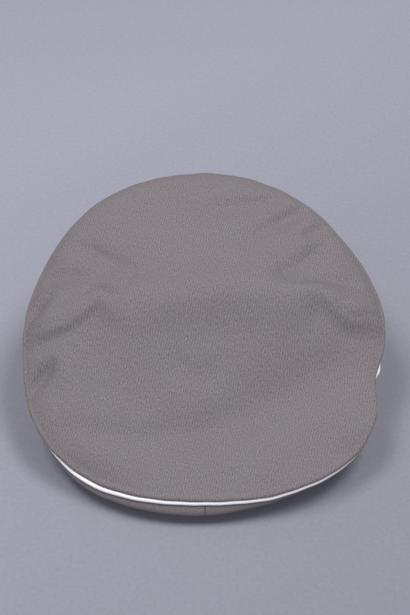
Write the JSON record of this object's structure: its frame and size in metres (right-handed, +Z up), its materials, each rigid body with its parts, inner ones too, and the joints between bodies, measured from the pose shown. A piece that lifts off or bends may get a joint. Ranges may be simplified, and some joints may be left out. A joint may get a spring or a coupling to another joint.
{
  "type": "peaked cap",
  "caption": "Soft cloth peaked cap with a wide round crown, white piping under its edge, an oval head band and a stiff sloping peak, resting on a table.",
  "frame": {"origin": "middle of the cap's box in plan, on the table that it rests on", "axes": "+Z up from the table, -Y towards the peak, +X towards the wearer's left"},
  "size_m": [0.2803, 0.267, 0.125],
  "materials": {
    "cap_cloth": "warm grey ribbed wool twill",
    "piping_cord": "white covered cord",
    "peak_leather": "black polished leather"
  },
  "bodies": {
    "root": {"crown_top": "cap_cloth", "quarter_front_left": "cap_cloth", "quarter_front_right": "cap_cloth", "quarter_back_left": "cap_cloth", "quarter_back_right": "cap_cloth", "band": "cap_cloth", "piping": "piping_cord", "peak": "peak_leather"}
  },
  "joints": []
}
